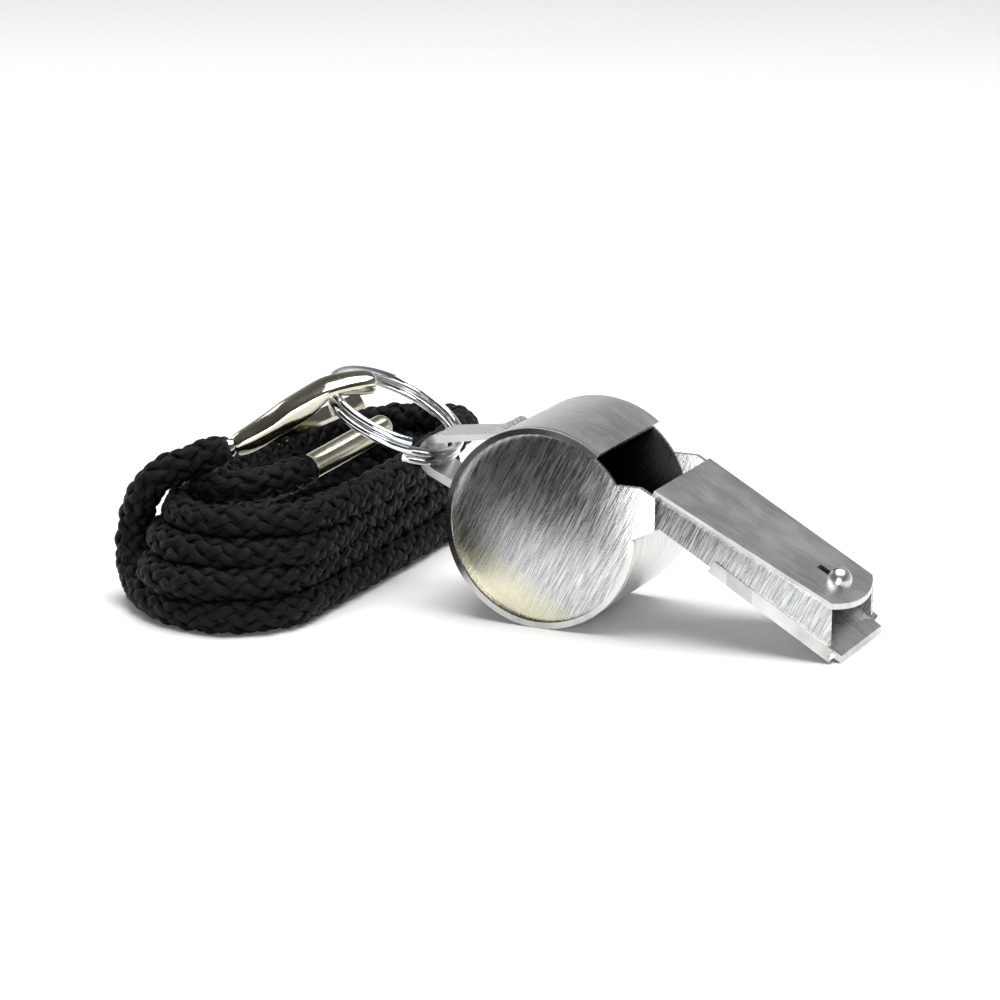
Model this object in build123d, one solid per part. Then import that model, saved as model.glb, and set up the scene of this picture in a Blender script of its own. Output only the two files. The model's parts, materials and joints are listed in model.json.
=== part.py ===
from build123d import *
import os
from math import cos, degrees, hypot, pi, radians, sin, tan

# A pressed-metal pea whistle on a short snap hook and a braided neck cord.
# Millimetres. +X runs from the cord to the mouthpiece tip, +Y goes through the barrel's
# width, +Z is up. The whistle stands on its barrel and on its mouthpiece lip at Z = 0.

# ---- whistle body ----
BARREL_X = -2.1           # barrel axis, from the origin
BARREL_R = 10.0           # outside radius of the wrapped strip
BODY_WIDTH = 15.5         # width of the wrapped strip
STRIP_T = 0.6             # sheet thickness of the strip
PLATE_T = 0.6             # sheet thickness of the two side plates
PLATE_INSET = 0.3         # side plates lie this far inside the strip's edges
SEAT_GAP = 0.02           # soldered seat between plate and strip
LIP_ANGLE = 53.0          # where the strip ends above the window, from +X
NECK_TOP_ANGLE = 33.5     # where the neck leaves the disc, above the axis
NECK_BOTTOM_ANGLE = -1.0  # where the neck leaves the disc, below
NECK_FLAT = 2.6           # level shoulder of the neck
THROAT_RUN = 3.1          # throat floor: run and rise
THROAT_RISE = 1.6
TOP_SLOPE = 27.6          # mouthpiece top, below level
MOUTH_LENGTH = 19.1       # shoulder to tip, along X
LIP_OUT = 1.1             # mouthpiece floor beyond the side plates
LIP_CORNER = 0.4          # lip narrower than the plates, each side
TIP_WIDTH = 12.2          # outside width at the tip
TOP_T = 0.5               # sheet of the mouthpiece top
TOP_INSET = 0.45          # top plate inside the side plates' outer faces
TOP_BACK = 1.1            # top plate starts this far past the shoulder
TOP_BULGE = 1.2           # round end of the top plate beyond the side plates
FLANGE_START = 5.2        # floor flanges start this far past the throat
FLANGE_T = 0.35
FLANGE_H = 0.9
GRIP_R = 1.25             # lanced tooth grip in the top plate
GRIP_FROM_TIP = 1.35
GRIP_Y = 0.1
GRIP_T = 0.3
LANCE_SIZE = (1.5, 1.1)   # lance cut beside the grip

# ---- lug ----
LUG_ANGLE = 161.5         # direction of the lug's eye from the barrel axis
LUG_REACH = 4.0           # eye centre beyond the barrel
LUG_EYE_R = 1.42
LUG_T = 0.8
LUG_WIDTH = 5.0
LUG_TOP_FOOT = 122.0      # where the arms meet the barrel, from +X
LUG_BOTTOM_FOOT = 178.0
SOLDER_R = 0.75
LUG_GAP = 0.01

# ---- pea ----
PEA_R = 4.4
PEA_GAP = 0.25

# ---- split ring ----
RING_R = 7.1              # mean radius
RING_WIRE_R = 0.44
RING_PITCH = 0.92
RING_TURNS = 2.0
RING_TILT = 26.0          # rises from the lug to its far side
RING_SIDE = 4.0           # slid round in the lug, towards +Y

# ---- snap hook: U runs from the nose to the base, W from the gate to the bow ----
HOOK_ROUND = 47.0         # hangs this far round the ring from its far side, towards -Y
HOOK_FALL = 40.5          # falls from the ring's plane towards its base
HOOK_SEAT = (4.4, 1.26)   # the ring's wire passes here in (U, W)
HOOK_WIDTH = 2.7
BOW_T = 1.1               # thickness of the bow
BOW_CLEAR = 2.3           # inside height of the bow
BOW_END = 12.0            # where the bow meets the base
NOSE_LENGTH = 1.5
NOSE_TIP = 0.5            # the nose's flat foot ends this far from the bow's end
NOSE_BULGE = 0.35         # how far the rounded nose stands past the bow's end
NOSE_MID_SHARE = 0.4      # height of the nose's bulge, of the clear space in the bow
SHOULDER_SHARE = 0.78     # height where the nose's curve meets the crown's, of the crown
CROWN_SHARE = 0.44        # place of the bow's highest point along it
EYE_START = 2.2           # where the clear space reaches its shoulder
EYE_SHOULDER_SHARE = 0.85 # height of that shoulder, of the clear space
EYE_TURN_SHARE = 0.52     # middle of the curve from the nose to that shoulder
BASE_LENGTH = 3.4
BASE_R = 1.25
BASE_LIFT = 0.65          # swivel axis above the gate line
GATE_T = 0.45
GATE_WIDTH = 2.2
GATE_GAP = 0.08
GATE_ROOT = 3.0           # length of the riveted end
RIVET_R = 0.5
RIVET_HEAD_R = 0.8
RIVET_HEAD_T = 0.35
RIVET_DEPTH = 0.9         # shank pressed into the hook
GATE_PIVOT_FIT = 0.08
SWIVEL_R = 0.6
SWIVEL_FIT = 0.05
SWIVEL_HEAD_R = 0.85
SWIVEL_HEAD_T = 0.7
SWIVEL_NECK = 0.4         # clear stem between the base and the clamp
SWIVEL_HEAD_GAP = 0.2     # room behind the swivel's head
CLAMP_LENGTH = 4.2
CLAMP_R = 1.7
CLAMP_T = 0.35

# ---- cord ----
CORD_D = 3.3
CAP_R = 1.3               # crimped end cap, outside
CAP_T = 0.3
CAP_LENGTH = 12.4
CAP_FLARE = 0.25
CAP_MOUTH = (-28.2, -6.0, 12.6)
CAP_HEADING = 76.0        # turned from +X towards +Y
CAP_SLOPE = 10.5          # rises from the mouth

# ---- hank: outer shape of the folded cord ----
HANK_X = (-46.5, -22.5)
HANK_Y = (-25.5, 31.0)
HANK_HEIGHT = 12.0
HANK_CORNER = 11.0
HANK_EDGE = 4.0
HANK_SOLE = 2.0           # rounding where it lies on the floor
POCKET_CLEAR = 0.5        # hollow between the turns, round the fittings
LEAD_POINTS = [(-37.2, -12.5, 14.0), (-41.0, -15.3, 12.3), (-43.6, -14.4, 6.4),
               (-41.2, -18.0, 2.0), (-35.0, -22.6, 1.7)]
TAIL_POINTS = [(-42.0, -4.0, 9.6), (-38.2, -12.2, 9.9), (-31.2, -13.6, 11.4), CAP_MOUTH]
ARC_SHARE = 0.45          # an arc takes this much of the shorter run beside it

SEAT_R = BARREL_R - STRIP_T
PLATE_Y = BODY_WIDTH / 2 - PLATE_INSET
EXTRA = 30.0              # cutting bodies reach this far past what they cut


def polar(radius, angle):
    """Point in the XZ section, at an angle from +X round the barrel axis."""
    return (BARREL_X + radius * cos(radians(angle)), BARREL_R + radius * sin(radians(angle)))


def section(face_2d, y_from, y_to):
    """Extrude a section drawn in (x, z) from y_from to y_to."""
    plane = Plane(origin=(0, y_to, 0), x_dir=(1, 0, 0), z_dir=(0, -1, 0))
    return extrude(plane * face_2d, amount=y_to - y_from)


def plan(face_2d):
    """Extrude an outline drawn in (x, y) through the whole height."""
    return extrude(Pos(0, 0, -EXTRA) * face_2d, amount=4 * EXTRA)


def area(*points):
    return make_face(Polyline(*points, close=True))


def disc(point, radius):
    return Pos(point[0], point[1]) * Circle(radius)


def over(start, end, thickness):
    """A strip over the line from start to end, as four points; a negative one lies under it."""
    run, rise = end[0] - start[0], end[1] - start[1]
    size = hypot(run, rise)
    up = (-thickness * rise / size, thickness * run / size)
    return [start, end, (end[0] + up[0], end[1] + up[1]), (start[0] + up[0], start[1] + up[1])]


NECK_TOP = polar(SEAT_R, NECK_TOP_ANGLE)
SHOULDER = (NECK_TOP[0] + NECK_FLAT, NECK_TOP[1])
TIP_X = SHOULDER[0] + MOUTH_LENGTH
TIP_TOP = (TIP_X, SHOULDER[1] - MOUTH_LENGTH * tan(radians(TOP_SLOPE)))
NECK_BOTTOM = polar(SEAT_R, NECK_BOTTOM_ANGLE)
THROAT = (NECK_BOTTOM[0] + THROAT_RUN, NECK_BOTTOM[1] + THROAT_RISE)
LIP_X = TIP_X + LIP_OUT


def floor_point(x):
    """Underside of the mouthpiece floor, which comes down to Z = 0 at the lip."""
    return (x, THROAT[1] * (LIP_X - x) / (LIP_X - THROAT[0]))


def half_width(x):
    """Outer face of the side plates: parallel as far as the throat, then tapered."""
    share = max(0.0, (x - THROAT[0]) / (TIP_X - THROAT[0]))
    return PLATE_Y + (TIP_WIDTH / 2 - PLATE_Y) * share


def tapered_plan(inset, x_from, x_to):
    """Outline between the side plates, inset from their outer faces."""
    bend = min(max(THROAT[0], x_from + 0.01), x_to - 0.01)
    right = [(x, half_width(x) - inset) for x in (x_from, bend, x_to)]
    left = [(x, -y) for x, y in reversed(right)]
    return plan(area(*right, *left))


def plate_section():
    neck = area((BARREL_X, BARREL_R), NECK_TOP, SHOULDER, TIP_TOP, floor_point(TIP_X), THROAT, NECK_BOTTOM)
    return disc((BARREL_X, BARREL_R), SEAT_R - SEAT_GAP) + neck


def side_plate(side):
    start = BARREL_X - BARREL_R
    end = TIP_X + 1
    band = tapered_plan(0, start, end) - tapered_plan(PLATE_T, start - 1, end + 1)
    plate = section(plate_section(), -BODY_WIDTH, BODY_WIDTH) & band
    return plate & Pos(0, side * EXTRA, 0) * Box(4 * EXTRA, 2 * EXTRA, 4 * EXTRA)


def wrap_window():
    """The part of the circle that the wrapped strip leaves open."""
    reach = 2 * BARREL_R
    angles = [NECK_BOTTOM_ANGLE + (LIP_ANGLE - NECK_BOTTOM_ANGLE) * i / 3 for i in range(4)]
    return area((BARREL_X, BARREL_R), *[polar(reach, angle) for angle in angles])


def barrel_wrap():
    """One strip: lip, round the barrel, throat floor and a tongue into the mouthpiece."""
    tube = disc((BARREL_X, BARREL_R), BARREL_R) - disc((BARREL_X, BARREL_R), SEAT_R) - wrap_window()
    shell = section(tube, -BODY_WIDTH / 2, BODY_WIDTH / 2)
    end = floor_point(THROAT[0] + FLANGE_START)
    outside = polar(BARREL_R, NECK_BOTTOM_ANGLE)
    throat = area(*over(NECK_BOTTOM, THROAT, STRIP_T)) + area(*over(THROAT, end, STRIP_T))
    throat += area(polar(SEAT_R, NECK_BOTTOM_ANGLE + 3), outside, NECK_BOTTOM)
    throat += area(THROAT, over(NECK_BOTTOM, THROAT, STRIP_T)[2], over(THROAT, end, STRIP_T)[3])
    floor = section(throat, -BODY_WIDTH, BODY_WIDTH) & tapered_plan(PLATE_T + SEAT_GAP, BARREL_X, LIP_X)
    bridge = polar(SEAT_R + STRIP_T / 2, NECK_BOTTOM_ANGLE)
    weld = section(disc(bridge, STRIP_T / 2), -BODY_WIDTH / 2, BODY_WIDTH / 2) - section(
        plate_section(), -BODY_WIDTH, BODY_WIDTH)
    return shell + floor + weld


def mouthpiece_floor():
    """Floor sheet between the side plates, and a shoe folded up round their lower edges."""
    start, end = floor_point(THROAT[0] + FLANGE_START), floor_point(LIP_X)
    tip = floor_point(TIP_X)
    sheet = section(area(*over(start, end, STRIP_T)), -BODY_WIDTH, BODY_WIDTH)
    inner = sheet & tapered_plan(PLATE_T + SEAT_GAP, start[0] - 1, TIP_X)
    lip = sheet & tapered_plan(LIP_CORNER, TIP_X, LIP_X)
    under_lip = floor_point(TIP_X + FLANGE_T)
    shoe = section(area(*over(start, under_lip, -FLANGE_T)), -BODY_WIDTH, BODY_WIDTH)
    shoe &= tapered_plan(-FLANGE_T, start[0] - 1, LIP_X)
    wall = section(area(*over(start, tip, FLANGE_H)), -BODY_WIDTH, BODY_WIDTH)
    wall &= tapered_plan(-FLANGE_T, start[0] - 1, LIP_X) - tapered_plan(-SEAT_GAP, start[0] - 2, LIP_X + 1)
    return inner + lip + shoe + wall


def mouthpiece_top():
    slope = radians(TOP_SLOPE)
    start = (SHOULDER[0] + TOP_BACK, SHOULDER[1] - TOP_BACK * tan(slope))
    end = (TIP_X + TOP_BULGE, SHOULDER[1] - (MOUTH_LENGTH + TOP_BULGE) * tan(slope))
    lift = (TOP_T * sin(slope), TOP_T * cos(slope))
    sheet = area(start, end, (end[0] + lift[0], end[1] + lift[1]), (start[0] + lift[0], start[1] + lift[1]))
    tip_half = half_width(TIP_X) - TOP_INSET
    round_end = (tip_half ** 2 + TOP_BULGE ** 2) / (2 * TOP_BULGE)
    outline = tapered_plan(TOP_INSET, start[0] - 1, TIP_X + 2 * TOP_BULGE)
    outline &= plan(disc((TIP_X + TOP_BULGE - round_end, 0), round_end))
    plate = section(sheet, -BODY_WIDTH, BODY_WIDTH) & outline
    grip_x = TIP_X - GRIP_FROM_TIP
    top_z = SHOULDER[1] - (grip_x - SHOULDER[0]) * tan(slope) + TOP_T / cos(slope)
    seat = Pos(grip_x, GRIP_Y, top_z) * Rot(0, TOP_SLOPE, 0)
    dome = seat * Rot(0, 0, 180) * (Sphere(GRIP_R) - Sphere(GRIP_R - GRIP_T))
    dome &= seat * Pos(0, 0, GRIP_R - TOP_T / 2) * Box(4 * GRIP_R, 4 * GRIP_R, 2 * GRIP_R)
    mouth = seat * Pos(-GRIP_R, 0, GRIP_R * 0.3) * Box(GRIP_R, GRIP_R * 0.9, GRIP_R)
    lance = seat * Pos(-GRIP_R - LANCE_SIZE[0] / 2 + GRIP_T, 0, 0) * Box(*LANCE_SIZE, 4 * TOP_T)
    return plate - seat * Cylinder(GRIP_R - GRIP_T / 2, 3 * TOP_T) - lance + (dome - mouth)


EYE = polar(BARREL_R + LUG_REACH, LUG_ANGLE)


def lug_outline(radius, foot_shift):
    """Wedge from the barrel to the lug's nose: the eye's circle and two feet inside the barrel."""
    foot_r = BARREL_R - 1.0
    feet = [polar(foot_r, LUG_TOP_FOOT + foot_shift), polar(foot_r, LUG_BOTTOM_FOOT - foot_shift)]
    foot_size = 0.2
    edges = disc(EYE, radius).edges() + disc(feet[0], foot_size).edges() + disc(feet[1], foot_size).edges()
    return make_face(make_hull(edges))


def ring_lug():
    arm_share = degrees(LUG_T / BARREL_R) * 1.4
    barrel = disc((BARREL_X, BARREL_R), BARREL_R + LUG_GAP)
    loop = lug_outline(LUG_EYE_R + LUG_T, 0) - lug_outline(LUG_EYE_R, arm_share) - barrel
    return section(loop, -LUG_WIDTH / 2, LUG_WIDTH / 2)


def lug_solder():
    """A bead along each line where the lug's outer face leaves the barrel."""
    barrel = disc((BARREL_X, BARREL_R), BARREL_R)
    lug = lug_outline(LUG_EYE_R + LUG_T, 0) - barrel
    seams = [v for v in lug.vertices() if abs(hypot(v.X - BARREL_X, v.Y - BARREL_R) - BARREL_R) < LUG_GAP]
    seams.sort(key=lambda v: v.Y)
    feet = disc((seams[0].X, seams[0].Y), SOLDER_R) + disc((seams[-1].X, seams[-1].Y), SOLDER_R)
    bead = feet - barrel - lug_outline(LUG_EYE_R + LUG_T + LUG_GAP, 0)
    return section(bead, -LUG_WIDTH / 2, LUG_WIDTH / 2)


def pea():
    return Pos(BARREL_X, 0, STRIP_T + PEA_GAP + PEA_R) * Sphere(PEA_R)


RING_FAR = Vector(-cos(radians(RING_TILT)), 0, sin(radians(RING_TILT)))
RING_AXIS = Vector(sin(radians(RING_TILT)), 0, cos(radians(RING_TILT)))


def ring_radial(angle):
    """Direction in the ring's plane, turned from its far side towards +Y."""
    return RING_FAR * cos(radians(angle)) + Vector(0, sin(radians(angle)), 0)


RING_CENTRE = Vector(EYE[0], 0, EYE[1]) + ring_radial(RING_SIDE) * RING_R


def split_ring():
    turns = Helix(pitch=RING_PITCH, height=RING_PITCH * RING_TURNS, radius=RING_R)
    start = Plane(origin=turns @ 0, z_dir=turns % 0)
    wire = sweep(start * Circle(RING_WIRE_R), path=turns)
    centred = Pos(0, 0, -RING_PITCH * RING_TURNS / 2) * wire
    free_ends_at = Rot(0, 0, -50)
    return Pos(*RING_CENTRE) * Rot(0, RING_TILT, 0) * free_ends_at * centred


HOOK_U = ring_radial(-HOOK_ROUND) * cos(radians(HOOK_FALL)) - RING_AXIS * sin(radians(HOOK_FALL))
HOOK_ACROSS = ring_radial(90 - HOOK_ROUND)
HOOK_W = HOOK_ACROSS.cross(HOOK_U)
RING_CROSSING = RING_CENTRE + ring_radial(-HOOK_ROUND) * RING_R
HOOK = Plane(
    origin=RING_CROSSING - HOOK_U * HOOK_SEAT[0] - HOOK_W * HOOK_SEAT[1],
    x_dir=HOOK_U,
    z_dir=HOOK_ACROSS,
)
BASE_END = BOW_END + BASE_LENGTH


def hook_slab(face_2d, width):
    """Extrude a section drawn in the hook's (U, W) plane, half to each side."""
    return extrude(HOOK * face_2d, amount=width / 2, both=True)


def hook_rod(u_from, u_to, radius):
    """A round body on the swivel's axis."""
    seat = Plane(origin=HOOK.from_local_coords((u_from, BASE_LIFT, 0)), z_dir=HOOK.x_dir)
    return extrude(seat * Circle(radius), amount=u_to - u_from)


def rivet_rod(w_from, w_to, radius):
    """A round body through the gate's root, square to the gate."""
    seat = Plane(origin=HOOK.from_local_coords((BOW_END - GATE_ROOT / 2, w_from, 0)), z_dir=HOOK.y_dir)
    return extrude(seat * Circle(radius), amount=w_to - w_from)


def hook_body():
    crown = BOW_CLEAR + BOW_T
    root_top = BASE_LIFT + BASE_R
    foot = BOW_END - GATE_ROOT
    nose_foot, nose_bulge = (NOSE_TIP, -GATE_T), (-NOSE_BULGE, NOSE_MID_SHARE * BOW_CLEAR)
    shoulder = (2 * NOSE_TIP, SHOULDER_SHARE * crown)
    inner_start, inner_turn = (NOSE_LENGTH, GATE_GAP), (EYE_TURN_SHARE * EYE_START, BOW_CLEAR / 2)
    inner_shoulder = (EYE_START, EYE_SHOULDER_SHARE * BOW_CLEAR)
    root_in, root_out = (BOW_END, GATE_GAP), (BOW_END, root_top)
    outline = [Line((NOSE_LENGTH, -GATE_T), nose_foot),
               ThreePointArc(nose_foot, nose_bulge, shoulder),
               ThreePointArc(shoulder, (CROWN_SHARE * BOW_END, crown), root_out),
               Line(root_out, root_in),
               Line(root_in, (foot, GATE_GAP)),
               ThreePointArc((foot, GATE_GAP), (CROWN_SHARE * BOW_END, BOW_CLEAR), inner_shoulder),
               ThreePointArc(inner_shoulder, inner_turn, inner_start),
               Line(inner_start, (NOSE_LENGTH, -GATE_T))]
    bow = hook_slab(make_face(Wire(outline)), HOOK_WIDTH)
    base = hook_rod(BOW_END - BASE_R, BASE_END, BASE_R)
    gate_space = area((foot, -2 * BASE_R), (BOW_END, -2 * BASE_R), (BOW_END, GATE_GAP), (foot, GATE_GAP))
    base -= hook_slab(gate_space, 2 * HOOK_WIDTH)
    bore = hook_rod(BOW_END, BASE_END + 1, SWIVEL_R + SWIVEL_FIT)
    room_end = BOW_END + SWIVEL_HEAD_T + SWIVEL_FIT
    head_room = hook_rod(BOW_END - SWIVEL_HEAD_GAP, room_end, SWIVEL_HEAD_R + SWIVEL_FIT)
    return bow + base - bore - head_room - rivet_rod(-1, GATE_GAP + RIVET_DEPTH, RIVET_R)


def gate_leaf():
    start, end = NOSE_LENGTH + GATE_GAP, BOW_END - GATE_GAP
    leaf = hook_slab(area((start, -GATE_T), (end, -GATE_T), (end, 0), (start, 0)), GATE_WIDTH)
    return leaf - rivet_rod(-1, 1, RIVET_R + GATE_PIVOT_FIT)


def gate_rivet():
    shank = rivet_rod(-GATE_T, GATE_GAP + RIVET_DEPTH, RIVET_R)
    head = rivet_rod(-GATE_T - GATE_GAP - RIVET_HEAD_T, -GATE_T - GATE_GAP, RIVET_HEAD_R)
    neck = rivet_rod(-GATE_T - GATE_GAP, -GATE_T, RIVET_R)
    return shank + neck + head


def swivel_clamp():
    """Headed stem that turns in the hook's base, and the crimped shell that holds the cord."""
    clamp_start = BASE_END + SWIVEL_NECK
    clamp_end = clamp_start + CLAMP_LENGTH
    head = hook_rod(BOW_END, BOW_END + SWIVEL_HEAD_T, SWIVEL_HEAD_R)
    stem = hook_rod(BOW_END, clamp_start + CLAMP_T / 2, SWIVEL_R)
    shell = hook_rod(clamp_start, clamp_end, CLAMP_R)
    hollow = hook_rod(clamp_start + CLAMP_T, clamp_end + 1, CLAMP_R - CLAMP_T)
    return head + stem + (shell - hollow)


def cap_rod(s_from, s_to, radius, end_radius=None):
    """A round body on the end cap's axis, from its mouth."""
    direction = Vector(cos(radians(CAP_SLOPE)), 0, sin(radians(CAP_SLOPE))).rotate(Axis.Z, CAP_HEADING)
    seat = Plane(origin=Vector(*CAP_MOUTH) + direction * s_from, z_dir=direction)
    if end_radius is None:
        return extrude(seat * Circle(radius), amount=s_to - s_from)
    return seat * Pos(0, 0, (s_to - s_from) / 2) * Cone(radius, end_radius, s_to - s_from)


def cord_end_cap():
    body = cap_rod(0, CAP_LENGTH, CAP_R)
    body = fillet(body.edges().sort_by(Axis.Y)[-1], CAP_R * 0.7)
    flare = cap_rod(0, 2 * CAP_FLARE, CAP_R + CAP_FLARE, CAP_R)
    bore = cap_rod(-1, CAP_LENGTH - CAP_R, CAP_R - CAP_T)
    return body + flare - bore


def cord_tube(points):
    """Cord along its free stretch: straight runs joined by arcs as large as the runs allow."""
    corners = [Vector(*point) for point in points]
    radii = []
    for before, corner, after in zip(corners, corners[1:], corners[2:]):
        turn = (corner - before).get_angle(after - corner)
        run = min((corner - before).length, (after - corner).length)
        radii.append(ARC_SHARE * run / tan(radians(turn) / 2))
    print("cord radii", [round(radius, 1) for radius in radii])
    path = FilletPolyline(*corners, radius=radii)
    start = Plane(origin=corners[0], z_dir=corners[1] - corners[0])
    tube = sweep(start * Circle(CORD_D / 2), path=path)
    section = pi * CORD_D ** 2 / 4
    print("cord volume", round(tube.volume, 1), "section by length", round(section * path.length, 1))
    return tube


def lanyard_lead():
    clamp_start = BASE_END + SWIVEL_NECK
    clamp_end = clamp_start + CLAMP_LENGTH
    inside_clamp = hook_rod(clamp_start, clamp_end, 2 * CLAMP_R)
    held = hook_rod(clamp_start + CLAMP_T, clamp_end, CLAMP_R - CLAMP_T)
    tube = cord_tube(LEAD_POINTS)
    return (tube - inside_clamp) + held


def lanyard_tail():
    past_mouth = cap_rod(0, CAP_LENGTH, 2 * CORD_D)
    return (cord_tube(TAIL_POINTS) - past_mouth) + cap_rod(-CAP_R, CAP_LENGTH / 2, CAP_R - CAP_T)


def rounded_slab(x_range, y_range, height, corner, edge):
    length, width = x_range[1] - x_range[0], y_range[1] - y_range[0]
    outline = Pos(sum(x_range) / 2, sum(y_range) / 2) * RectangleRounded(length, width, corner)
    slab = extrude(outline, amount=height)
    slab = fillet(slab.faces().sort_by(Axis.Z)[-1].edges(), edge)
    return fillet(slab.faces().sort_by(Axis.Z)[0].edges(), HANK_SOLE)


def lanyard_hank():
    turns = rounded_slab(HANK_X, HANK_Y, HANK_HEIGHT, HANK_CORNER, HANK_EDGE)
    reach = CLAMP_R + POCKET_CLEAR
    pocket_end = BASE_END + SWIVEL_NECK + CLAMP_LENGTH + reach
    pocket = hook_slab(area((0, BASE_LIFT - reach), (pocket_end, BASE_LIFT - reach),
                            (pocket_end, EXTRA), (0, EXTRA)), 2 * reach)
    cap_groove = cap_rod(-2 * CORD_D, CAP_LENGTH + EXTRA, CAP_R + CAP_FLARE + POCKET_CLEAR)
    return turns - pocket - cap_groove - lanyard_tail() - lanyard_lead()


BUILDERS = {
    "side_plate_front": lambda: side_plate(-1),
    "side_plate_back": lambda: side_plate(1),
    "barrel_wrap": barrel_wrap,
    "mouthpiece_floor": mouthpiece_floor,
    "mouthpiece_top": mouthpiece_top,
    "ring_lug": ring_lug,
    "lug_solder": lug_solder,
    "cork_pea": pea,
    "split_ring": split_ring,
    "hook_body": hook_body,
    "gate_leaf": gate_leaf,
    "gate_rivet": gate_rivet,
    "swivel_clamp": swivel_clamp,
    "lanyard_lead": lanyard_lead,
    "lanyard_hank": lanyard_hank,
    "lanyard_tail": lanyard_tail,
    "cord_end_cap": cord_end_cap,
}

os.makedirs("parts", exist_ok=True)
for node, builder in BUILDERS.items():
    export_step(builder(), f"parts/{node}.step")
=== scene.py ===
# A pressed-metal pea whistle on a split ring, with a snap hook and a bundled, braided neck cord.
# The frame gives every CAD piece its place. This script adds the cord, a domed hook and a ferrule,
# the materials, the floor, the light and the camera. Lengths are in metres; mm() takes millimetres.

import json
import math

import bpy
import bmesh
from mathutils import Matrix, Vector


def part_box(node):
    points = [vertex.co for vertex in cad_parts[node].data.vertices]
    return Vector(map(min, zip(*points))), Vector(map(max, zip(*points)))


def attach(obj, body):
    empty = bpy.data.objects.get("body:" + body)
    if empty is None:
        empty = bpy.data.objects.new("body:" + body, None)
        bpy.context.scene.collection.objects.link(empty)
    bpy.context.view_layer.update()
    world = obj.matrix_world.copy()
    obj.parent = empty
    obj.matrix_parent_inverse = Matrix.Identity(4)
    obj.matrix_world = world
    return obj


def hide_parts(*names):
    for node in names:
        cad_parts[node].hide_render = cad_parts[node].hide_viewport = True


MM = 0.001
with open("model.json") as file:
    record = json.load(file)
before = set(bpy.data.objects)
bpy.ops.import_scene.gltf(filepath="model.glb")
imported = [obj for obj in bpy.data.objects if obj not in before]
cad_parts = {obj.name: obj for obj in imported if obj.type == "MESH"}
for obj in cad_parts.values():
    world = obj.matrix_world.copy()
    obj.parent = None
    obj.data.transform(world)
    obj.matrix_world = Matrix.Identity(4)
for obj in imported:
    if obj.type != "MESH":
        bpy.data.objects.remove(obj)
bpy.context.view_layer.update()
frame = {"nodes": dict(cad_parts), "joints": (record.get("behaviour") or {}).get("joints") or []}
NODES = frame["nodes"]


def mm(*values):
    return Vector(values) * MM


def link(thing):
    bpy.context.scene.collection.objects.link(thing)


# ---------------------------------------------------------------- camera

CAMERA_AZIMUTH = math.radians(24.77)   # from straight in front, towards +X
CAMERA_ELEVATION = math.radians(14.96)
CAMERA_ROLL = math.radians(0.444)
CAMERA_DISTANCE = 402.3 * MM
CAMERA_LENS = 147.1                    # in millimetres, as is the sensor's width
CAMERA_SENSOR = 36
CAMERA_CLIP = (0.02, 20)
AIM_RIGHT = -7.0 * MM                  # the view's centre, beside the barrel's axis
AIM_UP = 0.973 * MM


def barrel_centre():
    """The middle of the barrel, and its radius."""
    low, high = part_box("barrel_wrap")
    radius = (high.z - low.z) / 2
    return Vector((low.x + radius, 0, low.z + radius)), radius


BARREL, BARREL_R = barrel_centre()


def make_camera():
    sin, cos = math.sin, math.cos
    back = Vector((sin(CAMERA_AZIMUTH) * cos(CAMERA_ELEVATION),
                   -cos(CAMERA_AZIMUTH) * cos(CAMERA_ELEVATION), sin(CAMERA_ELEVATION)))
    right = Vector((cos(CAMERA_AZIMUTH), sin(CAMERA_AZIMUTH), 0))
    up = back.cross(right)
    aim = BARREL + right * AIM_RIGHT + up * AIM_UP
    level = Matrix((right, up, back)).transposed()
    turn = level @ Matrix.Rotation(CAMERA_ROLL, 3, "Z")
    data = bpy.data.cameras.new("camera")
    data.lens = CAMERA_LENS
    data.sensor_width = CAMERA_SENSOR
    data.clip_start, data.clip_end = CAMERA_CLIP
    camera = bpy.data.objects.new("camera", data)
    camera.matrix_world = Matrix.Translation(aim + back * CAMERA_DISTANCE) @ turn.to_4x4()
    link(camera)
    bpy.context.scene.camera = camera


make_camera()
bpy.context.scene.view_settings.view_transform = "Standard"
bpy.context.scene.view_settings.look = "None"

# ---------------------------------------------------------------- cord route

# From the hook's end round the loop at the left, down to the first turn
LEAD = [mm(-34.5, -10.6, 15.1), mm(-37.2, -12.5, 14.0), mm(-41.0, -15.3, 12.3), mm(-43.6, -14.4, 6.4),
        mm(-41.2, -18.0, 2.0), mm(-35.0, -22.6, 1.7)]
# From the last turn over the bundle, into the end cap
TAIL = [mm(-42.0, -4.0, 9.6), mm(-38.4, -12.0, 9.9), mm(-32.0, -15.0, 12.4), mm(-28.8, -11.4, 12.3),
        mm(-28.2, -6.0, 12.6)]

# Each turn of the bundle is a loose oval, in millimetres: a near bend, a far bend, a height and a cant.
# (near x, near y, near radius, far x, far y, far radius, height, near cant, far cant)
TURNS = [
    (-32.0, -15.4, 8.3, -34.3, 18.6, 9.9, 1.8, 0.0, 0.0),
    (-31.7, -15.3, 7.6, -34.0, 17.4, 8.7, 4.6, 0.3, 0.2),
    (-31.5, -13.1, 8.0, -34.6, 16.6, 9.6, 7.2, 0.1, 0.3),
    (-31.1, -11.9, 7.3, -32.8, 18.2, 9.2, 9.9, 0.3, 1.4),
]
TURN_HEIGHT = 6                 # a turn's height is its item 6
BEND_STEPS = 5
BEND_END = 84                   # a bend runs this many degrees to either side
FIRST_START = 20                # the first turn starts where the lead arrives
NEXT_START = -78
SWAY_PITCH, SWAY_PHASE = 2.1, 0.6
SWAY_RIGHT, SWAY_LEFT = 0.6, 0.4
CLIMB = ((0.0, 3, 0.35), (0.8, -6, 0.8))    # right, back and share of the rise to the next turn
CURVE_STEPS = 12


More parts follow.
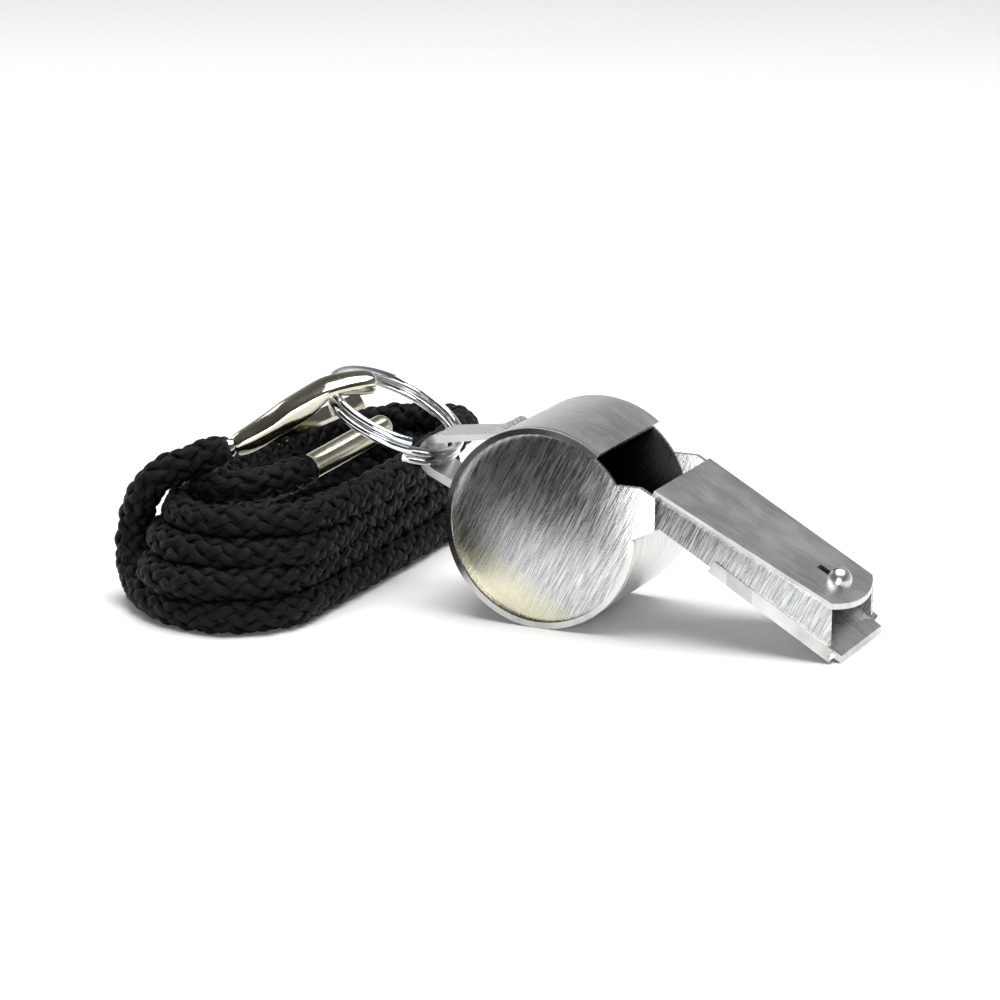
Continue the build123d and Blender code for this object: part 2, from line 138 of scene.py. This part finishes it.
def bend(x, y, radius, height, cant, from_angle, to_angle, side):
    """Points round one end of a turn; side is -1 at the near end and +1 at the far end."""
    points = []
    grow = 1 / math.cos(math.radians(to_angle - from_angle) / BEND_STEPS / 2)
    for step in range(BEND_STEPS + 1):
        angle = math.radians(from_angle + (to_angle - from_angle) * step / BEND_STEPS)
        across = math.sin(angle)
        points.append(mm(x + radius * grow * across, y + side * radius * grow * math.cos(angle),
                         height + cant * across))
    return points


def wound_turns():
    """The bundle's turns, each lifted onto the one below it along its left side."""
    points = []
    for number, (nx, ny, near_r, fx, fy, far_r, height, cant, far_cant) in enumerate(TURNS):
        start = FIRST_START if number == 0 else NEXT_START
        points += bend(nx, ny, near_r, height, cant, start, BEND_END, -1)
        sway = math.sin(SWAY_PITCH * number + SWAY_PHASE)
        middle_x = (nx + near_r + fx + far_r) / 2 + SWAY_RIGHT * sway
        middle_y = (ny + fy) / 2
        points.append(mm(middle_x, middle_y, height))
        points += bend(fx, fy, far_r, height, far_cant, BEND_END, -BEND_END, 1)
        if number < len(TURNS) - 1:
            rise = TURNS[number + 1][TURN_HEIGHT] - height
            left_x = (nx - near_r + fx - far_r) / 2 - SWAY_LEFT * sway
            for right, back, share in CLIMB:
                points.append(mm(left_x + right, middle_y + back, height + rise * share))
    return points


def make_cord():
    """The cord as one smooth curve through the bundle, from the hook to the cap."""
    route = LEAD + wound_turns() + TAIL
    curve = bpy.data.curves.new("neck_cord", "CURVE")
    curve.dimensions = "3D"
    spline = curve.splines.new("NURBS")
    spline.points.add(len(route) - 1)
    for point, place in zip(spline.points, route):
        point.co = (*place, 1)
    spline.order_u = 3
    spline.use_endpoint_u = True
    spline.resolution_u = CURVE_STEPS
    cord = bpy.data.objects.new("neck_cord", curve)
    link(cord)
    return cord


def centreline(cord):
    """The cord's own line, as points."""
    mesh = bpy.data.meshes.new_from_object(cord)
    points = [vertex.co.copy() for vertex in mesh.vertices]
    bpy.data.meshes.remove(mesh)
    return points


def even_line(points, step):
    """The same line, in steps of one length."""
    out = [points[0]]
    need = step
    for before, after in zip(points, points[1:]):
        run = (after - before).length
        gone = 0.0
        while run - gone >= need:
            gone += need
            out.append(before.lerp(after, gone / run))
            need = step
        need -= run - gone
    return out


def carried_frames(points):
    """A tangent and two side directions at each point, carried along without twisting."""
    frames = []
    side = None
    for i in range(len(points)):
        ahead = points[min(i + 1, len(points) - 1)]
        behind = points[max(i - 1, 0)]
        tangent = (ahead - behind).normalized()
        if side is None:
            side = tangent.orthogonal().normalized()
        side = (side - tangent * side.dot(tangent)).normalized()
        frames.append((tangent, side, tangent.cross(side)))
    return frames


# ---------------------------------------------------------------- braid

BRAID_PITCH = 15.0 * MM
CARRIERS = 6                    # strands each way round
BRAID_MEAN_R = 1.30 * MM
BRAID_WAVE = 0.22 * MM          # how far a strand goes over and under
STRAND_HALF_WIDTH = 0.56 * MM
STRAND_HALF_THICK = 0.31 * MM
STRAND_STEP = 0.3 * MM
STRAND_SIDES = 8
CORE_R = 1.25 * MM
CORE_ROUNDNESS = 4              # the curve's own measure of how round its section is
END_TAPER = 2.2 * MM            # the braid closes in over this length at each end
END_CLOSED = 0.45               # down to this share of its radius
WANDER = 0.085                  # how far round the cord a strand strays, in radians
SLOW_WANDER, QUICK_WANDER = 4.1 * MM, 1.7 * MM
QUICK_SHARE = 0.6
LOOSE = 0.09 * MM               # how far a strand lifts off the braid
LOOSE_RUN = 2.7 * MM


def braid_mesh(line, name):
    """Strands that wind both ways round the cord, over and under each other."""
    points = even_line(line, STRAND_STEP)
    frames = carried_frames(points)
    whole = (len(points) - 1) * STRAND_STEP
    verts, faces, uvs = [], [], []
    for way in (1, -1):
        for carrier in range(CARRIERS):
            seed = carrier + (10 if way > 0 else 20)    # so that each strand strays in its own way
            first = len(verts)
            centres = []
            for i, (point, (tangent, side, other)) in enumerate(zip(points, frames)):
                along = i * STRAND_STEP
                turn = way * 2 * math.pi * along / BRAID_PITCH + 2 * math.pi * carrier / CARRIERS
                wander = math.sin(along / SLOW_WANDER + seed * 2.3)
                wander += QUICK_SHARE * math.sin(along / QUICK_WANDER + seed)
                turn += WANDER * wander
                wave = way * math.cos(2 * math.pi * CARRIERS * along / BRAID_PITCH)
                out = side * math.cos(turn) + other * math.sin(turn)
                loose = LOOSE * math.sin(along / LOOSE_RUN + seed * 1.7)
                inward = min(along, whole - along) / END_TAPER
                tuck = END_CLOSED + (1 - END_CLOSED) * math.sqrt(min(max(inward, 0.0), 1.0))
                reach = BRAID_MEAN_R + BRAID_WAVE * wave + loose
                centres.append((point + out * reach * tuck, out))
            for i, (centre, out) in enumerate(centres):
                ahead = centres[min(i + 1, len(centres) - 1)][0]
                behind = centres[max(i - 1, 0)][0]
                run = (ahead - behind).normalized()
                across = run.cross(out).normalized()
                lift = across.cross(run).normalized()
                for k in range(STRAND_SIDES):
                    angle = 2 * math.pi * k / STRAND_SIDES
                    verts.append(centre + across * STRAND_HALF_WIDTH * math.cos(angle)
                                 + lift * STRAND_HALF_THICK * math.sin(angle))
            for i in range(len(centres) - 1):
                for k in range(STRAND_SIDES):
                    a = first + i * STRAND_SIDES + k
                    b = first + i * STRAND_SIDES + (k + 1) % STRAND_SIDES
                    faces.append((a, b, b + STRAND_SIDES, a + STRAND_SIDES))
                    v0, v1 = i * STRAND_STEP, (i + 1) * STRAND_STEP
                    u0, u1 = k / STRAND_SIDES + seed, (k + 1) / STRAND_SIDES + seed
                    uvs += [(u0, v0 / MM), (u1, v0 / MM), (u1, v1 / MM), (u0, v1 / MM)]
            faces.append(tuple(range(first + STRAND_SIDES - 1, first - 1, -1)))
            uvs += [(seed, 0)] * STRAND_SIDES
            last = first + (len(centres) - 1) * STRAND_SIDES
            faces.append(tuple(range(last, last + STRAND_SIDES)))
            uvs += [(seed, 0)] * STRAND_SIDES
    mesh = bpy.data.meshes.new(name)
    mesh.from_pydata([tuple(v) for v in verts], [], faces)
    layer = mesh.uv_layers.new(name="strand")
    for loop, uv in zip(layer.data, uvs):
        loop.uv = uv
    for polygon in mesh.polygons:
        polygon.use_smooth = len(polygon.vertices) == 4
    mesh.update()
    return mesh


# ---------------------------------------------------------------- materials

# How far from the middle plane the plates' outer look is full, and 0.2 mm further in, where it starts;
# nearer the middle plane, inside the chamber, the metal gets a painted shade
PLATE_OUT = -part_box("side_plate_front")[0].y - 0.2 * MM
PLATE_IN = PLATE_OUT - 0.2 * MM
PLATE_DOME_R = 32 * MM
BLACK, WHITE = (0, 0, 0), (1, 1, 1)


class Graph:
    """Short calls for building a material's nodes."""

    def __init__(self, name):
        self.material = bpy.data.materials.new(name)
        self.material.use_nodes = True
        self.tree = self.material.node_tree
        self.shader = self.tree.nodes["Principled BSDF"]

    def node(self, kind, inputs=None, **settings):
        node = self.tree.nodes.new(kind)
        for key, value in settings.items():
            setattr(node, key, value)
        for key, value in (inputs or {}).items():
            self.set(node.inputs[key], value)
        return node

    def set(self, socket, value):
        if isinstance(value, bpy.types.NodeSocket):
            self.tree.links.new(value, socket)
        else:
            socket.default_value = value

    def object_coords(self, scale=(1, 1, 1), rotation=(0, 0, 0)):
        coords = self.node("ShaderNodeTexCoord")
        turned = self.node("ShaderNodeMapping", {"Vector": coords.outputs["Object"], "Rotation": rotation})
        stretched = self.node("ShaderNodeMapping", {"Vector": turned.outputs["Vector"], "Scale": scale})
        return stretched.outputs["Vector"]

    def uv_coords(self, scale=(1, 1, 1)):
        coords = self.node("ShaderNodeTexCoord")
        mapping = self.node("ShaderNodeMapping", {"Vector": coords.outputs["UV"], "Scale": scale})
        return mapping.outputs["Vector"]

    def noise(self, vector, scale, detail=2.0, roughness=0.5):
        return self.node("ShaderNodeTexNoise", {"Vector": vector, "Scale": scale, "Detail": detail,
                                                "Roughness": roughness}).outputs["Fac"]

    def ramp(self, value, stops):
        node = self.node("ShaderNodeValToRGB", {"Fac": value})
        ramp = node.color_ramp
        while len(ramp.elements) < len(stops):
            ramp.elements.new(0.5)
        for element, (place, colour) in zip(ramp.elements, stops):
            element.position = place
            element.color = colour if len(colour) == 4 else (*colour, 1)
        return node.outputs["Color"]

    def map(self, value, low, high, out_low, out_high):
        node = self.node("ShaderNodeMapRange", {"Value": value, "From Min": low, "From Max": high,
                                                "To Min": out_low, "To Max": out_high})
        return node.outputs["Result"]

    def math(self, operation, a, b=0.0):
        node = self.node("ShaderNodeMath", {0: a, 1: b}, operation=operation)
        return node.outputs[0]

    def mix_colour(self, factor, a, b):
        node = self.node("ShaderNodeMix", {"Factor": factor}, data_type="RGBA")
        self.set(node.inputs[6], a)
        self.set(node.inputs[7], b)
        return node.outputs[2]

    def bump(self, height, strength, distance, normal=None):
        node = self.node("ShaderNodeBump", {"Height": height, "Strength": strength, "Distance": distance})
        if normal is not None:
            self.set(node.inputs["Normal"], normal)
        return node.outputs["Normal"]

    def finish(self, **sockets):
        names = {"base": "Base Color", "metal": "Metallic", "rough": "Roughness", "normal": "Normal",
                 "specular": "Specular IOR Level"}
        for key, value in sockets.items():
            self.set(self.shader.inputs[names[key]], value)
        return self.material


def from_barrel(g):
    """Sideways and upward distance from the barrel's axis, and along it, in metres."""
    coords = g.node("ShaderNodeTexCoord")
    split = g.node("ShaderNodeSeparateXYZ", {0: coords.outputs["Object"]})
    dx = g.math("SUBTRACT", split.outputs["X"], BARREL.x)
    dz = g.math("SUBTRACT", split.outputs["Z"], BARREL.z)
    return dx, dz, g.math("ABSOLUTE", split.outputs["Y"])


def radius_of(g, dx, dz):
    squares = g.math("ADD", g.math("MULTIPLY", dx, dx), g.math("MULTIPLY", dz, dz))
    return g.math("SQRT", squares)


def plate_dome(g, dx, dz):
    """Height of the plate's slight pressed dome, highest low down on the right."""
    side = g.math("SUBTRACT", g.math("MINIMUM", dx, 12 * MM), 3 * MM)
    rise = g.math("SUBTRACT", dz, -5 * MM)
    square = g.math("ADD", g.math("MULTIPLY", side, side), g.math("MULTIPLY", rise, rise))
    return g.math("MULTIPLY", square, -0.5 / PLATE_DOME_R)


def scratched_plate():
    """Satin nickel with fine straight scratches that all run one way, sandy grain and a slight dome."""
    g = Graph("scratched_nickel")
    slant = (0, math.radians(-27), 0)
    fine = g.noise(g.object_coords((13000, 600, 480), slant), 1.0, 2.0, 0.55)
    broad = g.noise(g.object_coords((5200, 300, 220), slant), 1.0, 2.0, 0.5)
    sand = g.noise(g.object_coords(), 6000.0, 2.0, 0.6)
    cloud = g.noise(g.object_coords(), 120.0, 3.0, 0.5)
    lines = g.math("ADD", g.math("MULTIPLY", fine, 0.7), g.math("MULTIPLY", broad, 0.3))
    tint = g.ramp(lines, [(0.36, (0.26, 0.28, 0.31)), (0.5, (0.46, 0.47, 0.48)),
                          (0.64, (0.78, 0.78, 0.76))])
    hair = g.noise(g.object_coords((17000, 900, 420), slant), 1.0, 1.0, 0.5)
    hairlines = g.ramp(hair, [(0.60, BLACK), (0.70, WHITE)])
    tint = g.mix_colour(g.math("MULTIPLY", hairlines, 0.5), tint, (0.92, 0.92, 0.90, 1))
    speck = g.ramp(sand, [(0.55, BLACK), (0.74, WHITE)])
    dx, dz, out = from_barrel(g)
    # A warm yellow tint painted low on the left of the plates: a painted warm reflection
    low_left = g.math("ADD", dz, g.math("MULTIPLY", dx, 0.67))
    painted_warm_reflection = g.mix_colour(g.map(low_left, -5 * MM, -9 * MM, 0.0, 0.85), tint, (0.80, 0.76, 0.55, 1))
    outside = g.mix_colour(g.math("MULTIPLY", speck, 0.5), painted_warm_reflection, (0.90, 0.89, 0.84, 1))
    radius = radius_of(g, dx, dz)
    beyond = g.map(radius, BARREL_R - 0.5 * MM, BARREL_R - 0.3 * MM, 0.0, 1.0)
    lit = g.math("MAXIMUM", g.map(out, PLATE_IN, PLATE_OUT, 0.0, 1.0), beyond)
    # Inside the chamber the plate's colour is near black: painted shade
    base = g.mix_colour(lit, (0.04, 0.04, 0.04, 1), outside)
    rough = g.map(g.math("ADD", g.math("MULTIPLY", lines, 0.8), g.math("MULTIPLY", cloud, 0.2)),
                  0.35, 0.65, 0.20, 0.36)
    normal = g.bump(plate_dome(g, dx, dz), 1.0, 1.0)
    normal = g.bump(lines, 0.6, 0.02 * MM, normal)
    normal = g.bump(sand, 0.7, 0.025 * MM, normal)
    return g.finish(base=base, metal=1.0, rough=rough, normal=normal)


def satin_shell():
    """Smooth satin nickel with faint forming marks and handling wear, and a near-black painted shade inside
    the chamber.
    """
    g = Graph("satin_nickel")
    lines = g.noise(g.object_coords((300, 4200, 300)), 1.0, 3.0, 0.5)
    cloud = g.noise(g.object_coords(), 220.0, 4.0, 0.55)
    sand = g.noise(g.object_coords(), 7000.0, 2.0, 0.6)
    outside = g.ramp(g.math("ADD", g.math("MULTIPLY", lines, 0.5), g.math("MULTIPLY", cloud, 0.5)),
                     [(0.35, (0.48, 0.48, 0.46)), (0.52, (0.63, 0.63, 0.61)), (0.68, (0.74, 0.74, 0.72))])
    dx, dz, out = from_barrel(g)
    radius = radius_of(g, dx, dz)
    beyond = g.map(radius, BARREL_R - 0.58 * MM, BARREL_R - 0.52 * MM, 0.0, 1.0)
    rim = g.map(out, PLATE_IN, PLATE_OUT, 0.0, 1.0)
    unshaded = g.math("MAXIMUM", beyond, rim)
    # Inside the chamber the shell's colour is near black: painted shade
    base = g.mix_colour(unshaded, (0.04, 0.036, 0.033, 1), outside)
    rough = g.map(cloud, 0.35, 0.65, 0.22, 0.34)
    normal = g.bump(g.math("MULTIPLY", plate_dome(g, dx, dz), rim), 1.0, 1.0)
    normal = g.bump(sand, 0.12, 0.02 * MM, normal)
    normal = g.bump(lines, 0.2, 0.02 * MM, normal)
    return g.finish(base=base, metal=1.0, rough=rough, normal=normal)


def grainy_solder():
    g = Graph("solder")
    grain = g.noise(g.object_coords(), 3200.0, 3.0, 0.65)
    lump = g.noise(g.object_coords(), 900.0, 2.0, 0.5)
    base = g.ramp(grain, [(0.35, (0.40, 0.40, 0.38)), (0.55, (0.72, 0.72, 0.69)),
                          (0.7, (0.95, 0.95, 0.92))])
    rough = g.map(grain, 0.35, 0.65, 0.2, 0.5)
    normal = g.bump(lump, 0.8, 0.12 * MM)
    normal = g.bump(grain, 0.8, 0.05 * MM, normal)
    return g.finish(base=base, metal=1.0, rough=rough, normal=normal)


def ring_chrome():
    g = Graph("ring_chrome")
    smear = g.noise(g.object_coords(), 500.0, 3.0, 0.5)
    lines = g.noise(g.object_coords((2400, 2400, 2400)), 1.0, 2.0, 0.5)
    base = g.ramp(smear, [(0.35, (0.70, 0.72, 0.75)), (0.65, (0.88, 0.89, 0.90))])
    rough = g.map(lines, 0.35, 0.65, 0.05, 0.12)
    normal = g.bump(smear, 0.15, 0.03 * MM)
    return g.finish(base=base, metal=1.0, rough=rough, normal=normal)


def polished_nickel():
    g = Graph("polished_nickel")
    wave = g.noise(g.object_coords(), 180.0, 2.0, 0.5)
    fine = g.noise(g.object_coords(), 4200.0, 2.0, 0.5)
    base = g.ramp(wave, [(0.35, (0.44, 0.41, 0.30)), (0.65, (0.66, 0.63, 0.52))])
    rough = g.map(fine, 0.35, 0.65, 0.07, 0.16)
    normal = g.bump(wave, 0.35, 0.25 * MM)
    normal = g.bump(fine, 0.06, 0.02 * MM, normal)
    return g.finish(base=base, metal=1.0, rough=rough, normal=normal)


def cap_metal():
    g = Graph("cap_metal")
    along = g.noise(g.object_coords(), 260.0, 3.0, 0.5)
    fine = g.noise(g.object_coords(), 5200.0, 2.0, 0.5)
    base = g.ramp(along, [(0.35, (0.36, 0.34, 0.25)), (0.65, (0.56, 0.54, 0.43))])
    rough = g.map(fine, 0.35, 0.65, 0.16, 0.26)
    normal = g.bump(along, 0.4, 0.15 * MM)
    return g.finish(base=base, metal=1.0, rough=rough, normal=normal)


def cork():
    g = Graph("cork")
    coords = g.object_coords()
    cells = g.node("ShaderNodeTexVoronoi", {"Vector": coords, "Scale": 1400.0, "Randomness": 1.0})
    grain = g.noise(coords, 2600.0, 3.0, 0.6)
    base = g.ramp(g.math("ADD", g.math("MULTIPLY", cells.outputs["Distance"], 0.6),
                         g.math("MULTIPLY", grain, 0.5)),
                  [(0.2, (0.16, 0.08, 0.04)), (0.45, (0.45, 0.27, 0.14)), (0.75, (0.62, 0.42, 0.24))])
    rough = g.map(grain, 0.3, 0.7, 0.7, 0.95)
    normal = g.bump(cells.outputs["Distance"], 0.7, 0.1 * MM)
    return g.finish(base=base, metal=0.0, rough=rough, normal=normal)


def cord_strands():
    """Black synthetic strands: filaments run along each strand and catch a soft grey light."""
    g = Graph("cord_strands")
    filaments = g.noise(g.uv_coords((34, 0.5, 1)), 1.0, 3.0, 0.6)
    broad = g.noise(g.uv_coords((9, 0.22, 1)), 1.0, 2.0, 0.5)
    fuzz = g.noise(g.object_coords(), 3800.0, 3.0, 0.6)
    lines = g.math("ADD", g.math("MULTIPLY", filaments, 0.7), g.math("MULTIPLY", fuzz, 0.3))
    base = g.ramp(lines, [(0.36, (0.0006, 0.0006, 0.0007)), (0.56, (0.0022, 0.0022, 0.0025)),
                          (0.74, (0.012, 0.012, 0.012))])
    rough = g.map(broad, 0.3, 0.7, 0.34, 0.6)
    normal = g.bump(lines, 1.0, 0.16 * MM)
    normal = g.bump(broad, 0.5, 0.2 * MM, normal)
    return g.finish(base=base, metal=0.0, rough=rough, normal=normal, specular=0.14)


def cord_core():
    g = Graph("cord_core")
    fuzz = g.noise(g.object_coords(), 4200.0, 2.0, 0.6)
    base = g.ramp(fuzz, [(0.35, (0.002, 0.002, 0.002)), (0.7, (0.008, 0.008, 0.009))])
    rough = g.map(fuzz, 0.3, 0.7, 0.8, 0.95)
    normal = g.bump(fuzz, 0.8, 0.1 * MM)
    return g.finish(base=base, metal=0.0, rough=rough, normal=normal)


def paper_floor():
    g = Graph("pale_floor")
    grain = g.noise(g.object_coords(), 900.0, 2.0, 0.5)
    base = g.ramp(grain, [(0.3, (0.90, 0.90, 0.90)), (0.7, (0.92, 0.92, 0.92))])
    return g.finish(base=base, metal=0.0, rough=0.85)


# ---------------------------------------------------------------- dressing the CAD nodes

def dress(node_names, material):
    for name in node_names:
        slots = NODES[name].material_slots
        if len(slots) == 0:
            NODES[name].data.materials.append(material)
        for slot in slots:
            slot.material = material


SCRATCHED = scratched_plate()
SATIN = satin_shell()
POLISHED = polished_nickel()
dress(["side_plate_front", "side_plate_back"], SCRATCHED)
dress(["barrel_wrap", "mouthpiece_floor", "mouthpiece_top", "ring_lug"], SATIN)
dress(["lug_solder"], grainy_solder())
dress(["cork_pea"], cork())
dress(["split_ring"], ring_chrome())
dress(["hook_body", "gate_leaf", "gate_rivet", "swivel_clamp"], POLISHED)
dress(["cord_end_cap"], cap_metal())

# ---------------------------------------------------------------- the snap hook

HOOK_BASE_ALONG = 15.4          # the swivel's end, in millimetres along the hook from its nose
HOOK_BASE_LIFT = 0.65           # and away from the gate
# (along the hook, away from the gate, half thickness, half width), in millimetres
HOOK_STATIONS = [
    (-0.20, 1.20, 0.90, 1.15), (0.70, 1.62, 1.05, 1.35), (2.00, 2.14, 1.00, 1.45), (3.40, 2.62, 0.80, 1.50),
    (4.60, 2.80, 0.74, 1.52), (5.80, 2.50, 0.98, 1.54), (7.20, 2.02, 1.26, 1.56), (9.00, 1.58, 1.34, 1.56),
    (10.8, 1.20, 1.16, 1.50), (12.6, 0.78, 1.16, 1.38), (14.2, 0.55, 1.10, 1.20), (15.3, 0.55, 0.85, 0.98),
]
HOOK_RUN_STEPS = 8
HOOK_SECTION_STEPS = 32
HOOK_SQUARENESS = 2.6
NOSE_STATIONS = 4               # the hook's ends round off over this many rings,
NOSE_START = 0.15               # from this share of its section
# The ferrule's outline: (along the hook, radius), in millimetres
FERRULE = [(13.4, 0.15), (13.4, 0.75), (15.2, 0.75), (15.5, 1.0), (19.6, 1.0), (19.9, 0.8), (19.9, 0.15)]
FERRULE_SIDES = 32


def hook_axes():
    """The hook's own origin, its length, its lift away from the gate, and its width."""
    joints = {joint["name"]: joint for joint in frame["joints"]}
    swivel, gate = joints["swivel_turn"], joints["gate_open"]
    along = Vector(swivel["axis"]).normalized()
    across = -Vector(gate["axis"]).normalized()
    lift = across.cross(along)
    if lift.z < 0:
        lift = -lift
    base = Vector(swivel["pos_m"])
    return base - (along * HOOK_BASE_ALONG + lift * HOOK_BASE_LIFT) * MM, along, lift, across


def smooth_between(values, i, t):
    """A point of the smooth curve through a list of tuples, between item i and the next."""
    count = len(values)
    p0, p1 = values[max(i - 1, 0)], values[i]
    p2, p3 = values[min(i + 1, count - 1)], values[min(i + 2, count - 1)]
    out = []
    for a, b, c, d in zip(p0, p1, p2, p3):
        out.append(0.5 * (2 * b + (c - a) * t + (2 * a - 5 * b + 4 * c - d) * t * t
                          + (3 * b - a - 3 * c + d) * t ** 3))
    return tuple(out)


def loft_mesh(name, rings):
    """A closed skin over a list of rings of points."""
    sides = len(rings[0])
    verts = [point for ring in rings for point in ring]
    faces = [tuple(range(sides - 1, -1, -1))]
    for i in range(len(rings) - 1):
        for k in range(sides):
            a, b = i * sides + k, i * sides + (k + 1) % sides
            faces.append((a, b, b + sides, a + sides))
    last = (len(rings) - 1) * sides
    faces.append(tuple(range(last, last + sides)))
    mesh = bpy.data.meshes.new(name)
    mesh.from_pydata([tuple(v) for v in verts], [], faces)
    mesh.polygons.foreach_set("use_smooth", [True] * len(mesh.polygons))
    build = bmesh.new()
    build.from_mesh(mesh)
    bmesh.ops.recalc_face_normals(build, faces=build.faces)
    build.to_mesh(mesh)
    build.free()
    return mesh


def add_piece(name, mesh, material, body):
    piece = bpy.data.objects.new(name, mesh)
    mesh.materials.append(material)
    link(piece)
    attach(piece, body)
    return piece


def section(centre, up, wide, half_up, half_wide):
    """A ring of points round the hook: an oval with squarer sides."""
    ring = []
    power = 2 / HOOK_SQUARENESS
    for k in range(HOOK_SECTION_STEPS):
        angle = 2 * math.pi * k / HOOK_SECTION_STEPS
        c, s = math.cos(angle), math.sin(angle)
        ring.append(centre + wide * half_wide * math.copysign(abs(c) ** power, c)
                    + up * half_up * math.copysign(abs(s) ** power, s))
    return ring


def domed_hook_mesh():
    origin, along, lift, across = hook_axes()
    line = []
    for i in range(len(HOOK_STATIONS) - 1):
        for step in range(HOOK_RUN_STEPS):
            line.append(smooth_between(HOOK_STATIONS, i, step / HOOK_RUN_STEPS))
    line.append(HOOK_STATIONS[-1])
    places = [origin + (along * x + lift * away) * MM for x, away, thick, wide in line]
    rings = []
    for i, (thick, wide) in enumerate(item[2:] for item in line):
        run = (places[min(i + 1, len(places) - 1)] - places[max(i - 1, 0)]).normalized()
        up = across.cross(run).normalized()
        end = min(i, len(line) - 1 - i)
        rounding = math.sqrt(1 - (1 - min(end / NOSE_STATIONS, 1)) ** 2)
        round_off = rounding * (1 - NOSE_START) + NOSE_START
        rings.append(section(places[i], up, across, thick * MM * round_off, wide * MM * round_off))
    return loft_mesh("domed_hook", rings)


def lathe_rings(start, axis, profile, sides):
    """Rings round an axis for (along, radius) pairs."""
    side = axis.orthogonal().normalized()
    other = axis.cross(side)
    angles = [2 * math.pi * k / sides for k in range(sides)]
    rings = []
    for along, radius in profile:
        rings.append([start + axis * along * MM
                      + (side * math.cos(angle) + other * math.sin(angle)) * radius * MM
                      for angle in angles])
    return rings


def ferrule_mesh():
    """The turned ferrule inside the cord's end, with its neck in the hook."""
    origin, along, lift, across = hook_axes()
    start = origin + lift * HOOK_BASE_LIFT * MM
    return loft_mesh("ferrule", lathe_rings(start, along, FERRULE, FERRULE_SIDES))


hook_piece = add_piece("domed_hook", domed_hook_mesh(), POLISHED, "hook")
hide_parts("hook_body")
ferrule = add_piece("ferrule", ferrule_mesh(), POLISHED, "lanyard")
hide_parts("swivel_clamp")

# ---------------------------------------------------------------- the cord's pieces

neck_cord = make_cord()
line = centreline(neck_cord)
neck_cord.data.bevel_depth = CORE_R
neck_cord.data.bevel_resolution = CORE_ROUNDNESS
neck_cord.data.use_fill_caps = True
neck_cord.data.materials.append(cord_core())
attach(neck_cord, "lanyard")
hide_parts("lanyard_lead", "lanyard_hank", "lanyard_tail")

braid = bpy.data.objects.new("neck_cord_braid", braid_mesh(line, "neck_cord_braid"))
braid.data.materials.append(cord_strands())
link(braid)
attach(braid, "lanyard")

# ---------------------------------------------------------------- floor and light

FLOOR_HALF = 2.5
FLOOR_CORNERS = [(-FLOOR_HALF, -FLOOR_HALF, 0), (FLOOR_HALF, -FLOOR_HALF, 0),
                 (FLOOR_HALF, FLOOR_HALF, 0), (-FLOOR_HALF, FLOOR_HALF, 0)]


def make_floor():
    """A pale table, larger than any view."""
    mesh = bpy.data.meshes.new("floor")
    mesh.from_pydata(FLOOR_CORNERS, [], [(0, 1, 2, 3)])
    floor = bpy.data.objects.new("floor", mesh)
    floor.data.materials.append(paper_floor())
    link(floor)


def area_light(name, place, aim, size, power, colour=(1, 1, 1)):
    data = bpy.data.lights.new(name, "AREA")
    data.shape = "RECTANGLE"
    data.size, data.size_y = size
    data.energy = power
    data.color = colour
    lamp = bpy.data.objects.new(name, data)
    lamp.location = place
    lamp.rotation_mode = "QUATERNION"
    lamp.rotation_quaternion = (Vector(aim) - Vector(place)).to_track_quat("-Z", "Y")
    link(lamp)


def make_world():
    """A dim studio: bright low down behind, darker overhead and dark in front on the left."""
    world = bpy.data.worlds.new("studio")
    world.use_nodes = True
    tree = world.node_tree
    coords = tree.nodes.new("ShaderNodeTexCoord")
    split = tree.nodes.new("ShaderNodeSeparateXYZ")
    tree.links.new(coords.outputs["Generated"], split.inputs[0])

    def ramp(value, stops):
        node = tree.nodes.new("ShaderNodeValToRGB")
        tree.links.new(value, node.inputs["Fac"])
        while len(node.color_ramp.elements) < len(stops):
            node.color_ramp.elements.new(0.5)
        for element, (place, level) in zip(node.color_ramp.elements, stops):
            element.position = place
            element.color = (level, level * 1.01, level * 1.03, 1)
        return node.outputs["Color"]

    # How far to the back: 0 in front, 1 behind
    depth = tree.nodes.new("ShaderNodeMapRange")
    depth.inputs["From Min"].default_value = -0.5
    depth.inputs["From Max"].default_value = 0.5
    tree.links.new(split.outputs["Y"], depth.inputs["Value"])
    behind = ramp(split.outputs["Z"], [(0.0, 0.95), (0.25, 0.66), (0.5, 0.26), (0.8, 0.10), (1.0, 0.3)])
    before = ramp(split.outputs["Z"], [(0.0, 0.03), (0.35, 0.03), (0.8, 0.12), (1.0, 0.3)])
    mix = tree.nodes.new("ShaderNodeMix")
    mix.data_type = "RGBA"
    tree.links.new(depth.outputs["Result"], mix.inputs["Factor"])
    tree.links.new(before, mix.inputs[6])
    tree.links.new(behind, mix.inputs[7])
    tree.links.new(mix.outputs[2], tree.nodes["Background"].inputs["Color"])
    tree.nodes["Background"].inputs["Strength"].default_value = 1.0
    bpy.context.scene.world = world


make_floor()
make_world()
area_light("overhead", (0.05, 0.02, 0.62), (0, 0, 0), (0.60, 0.60), 6.0)
area_light("front_right", (0.16, -0.52, 0.13), (0, 0, 0.01), (0.24, 0.24), 1.2)
area_light("low_left", (-0.50, 0.15, 0.22), (-0.02, 0, 0.01), (0.12, 0.22), 0.3)
